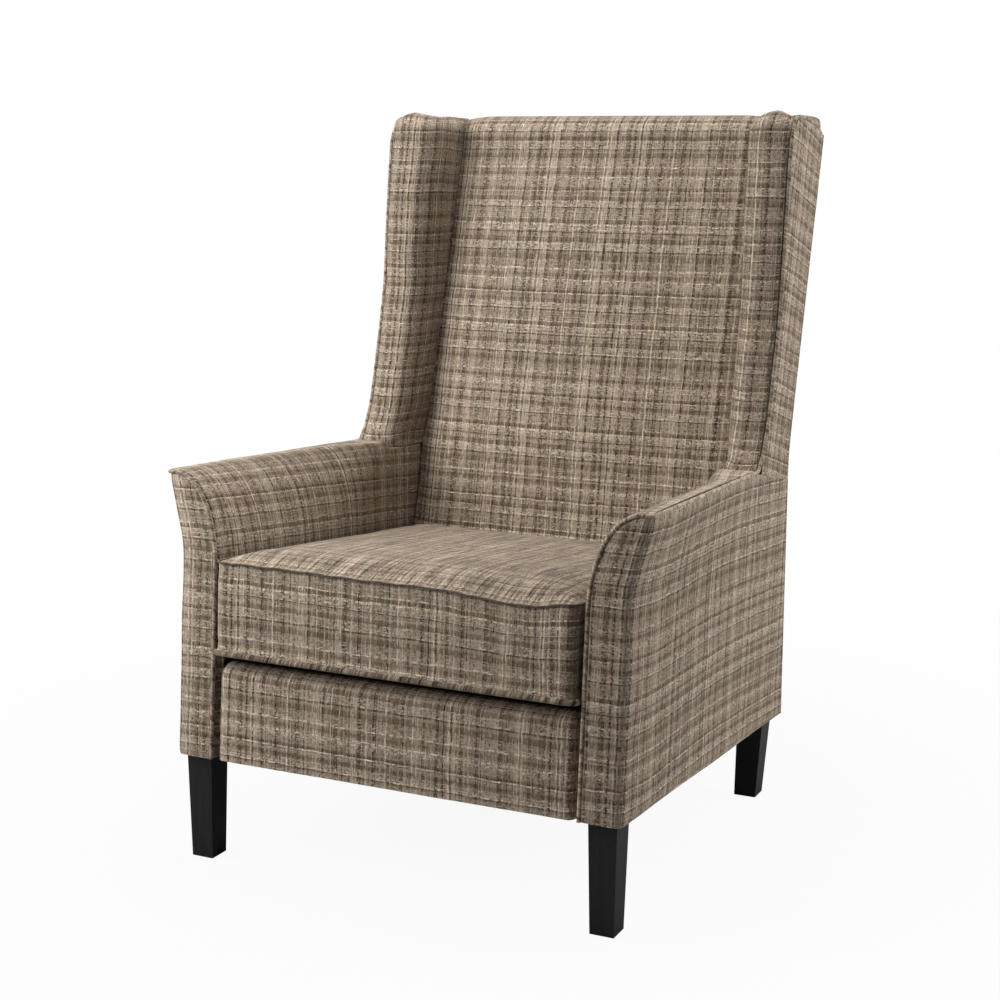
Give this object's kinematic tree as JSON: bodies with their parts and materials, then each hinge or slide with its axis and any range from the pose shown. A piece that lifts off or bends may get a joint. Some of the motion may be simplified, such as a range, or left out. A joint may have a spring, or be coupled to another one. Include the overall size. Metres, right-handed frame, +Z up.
{
  "type": "fireside chair",
  "caption": "High winged fireside chair with upholstered arms, loose box seat cushion and square tapered legs.",
  "frame": {"origin": "on the floor, under the middle of the chair's width and depth", "axes": "+Z up, the chair faces -Y, +X towards the sitter's left"},
  "size_m": [0.7968, 0.8711, 1.14],
  "materials": {
    "beech": "sawn, unfinished",
    "plaid_tweed": "woven tweed plaid in taupe, grey-brown and cream",
    "wadding": "soft polyester wadding over foam",
    "leg_finish": "near-black satin lacquer",
    "spring_steel": "oil-blackened wire",
    "zinc_steel": "zinc plated",
    "webbing": "woven elastic webbing",
    "hessian": "coarse hessian",
    "platform_cloth": "plain dark lining cloth",
    "black_cloth": "non-woven black cloth",
    "black_plastic": "matt",
    "foam": "seat foam",
    "zip_tape": "woven tape with plastic teeth",
    "zip_metal": "nickel plated"
  },
  "bodies": {
    "root": {"front_rail": "beech", "rear_rail": "beech", "left_side_rail": "beech", "right_side_rail": "beech", "leg_blocks": "beech", "left_arm_post": "beech", "right_arm_post": "beech", "left_arm_rail": "beech", "right_arm_rail": "beech", "left_facing_board": "beech", "right_facing_board": "beech", "left_back_post": "beech", "right_back_post": "beech", "left_wing_board": "beech", "right_wing_board": "beech", "top_back_rail": "beech", "lower_back_rail": "beech", "seat_springs": "spring_steel", "spring_clips": "zinc_steel", "back_webbing": "webbing", "insulator_cloth": "hessian", "deck_pad": "wadding", "deck_cover": "platform_cloth", "border_pad": "wadding", "border_cover": "plaid_tweed", "inside_back_pad": "wadding", "inside_back_cover": "plaid_tweed", "outside_back_cover": "plaid_tweed", "left_arm_pad": "wadding", "right_arm_pad": "wadding", "left_inside_arm_cover": "plaid_tweed", "right_inside_arm_cover": "plaid_tweed", "left_outside_arm_cover": "plaid_tweed", "right_outside_arm_cover": "plaid_tweed", "left_arm_welt": "plaid_tweed", "right_arm_welt": "plaid_tweed", "left_wing_pad": "wadding", "right_wing_pad": "wadding", "left_inside_wing_cover": "plaid_tweed", "right_inside_wing_cover": "plaid_tweed", "left_outside_wing_cover": "plaid_tweed", "right_outside_wing_cover": "plaid_tweed", "left_wing_welt": "plaid_tweed", "right_wing_welt": "plaid_tweed", "dust_cover": "black_cloth", "front_left_leg": "leg_finish", "front_right_leg": "leg_finish", "rear_left_leg": "leg_finish", "rear_right_leg": "leg_finish", "glides": "black_plastic", "leg_bolts": "zinc_steel", "tee_nuts": "zinc_steel", "block_screws": "zinc_steel"},
    "seat_cushion": {"cushion_core": "foam", "cushion_cover": "plaid_tweed", "cushion_piping": "plaid_tweed", "zip_tapes": "zip_tape"},
    "zip_runner": {"zip_slider": "zip_metal", "zip_pull": "zip_metal"}
  },
  "joints": [
    {"name": "cushion_lift", "type": "slide", "parent": "root", "child": "seat_cushion", "axis": [0, -0.5, 0.866], "range_m": [0, 0.45]},
    {"name": "zip_slide", "type": "slide", "parent": "seat_cushion", "child": "zip_runner", "axis": [-1, 0, 0], "range_m": [0, 0.4784]}
  ]
}
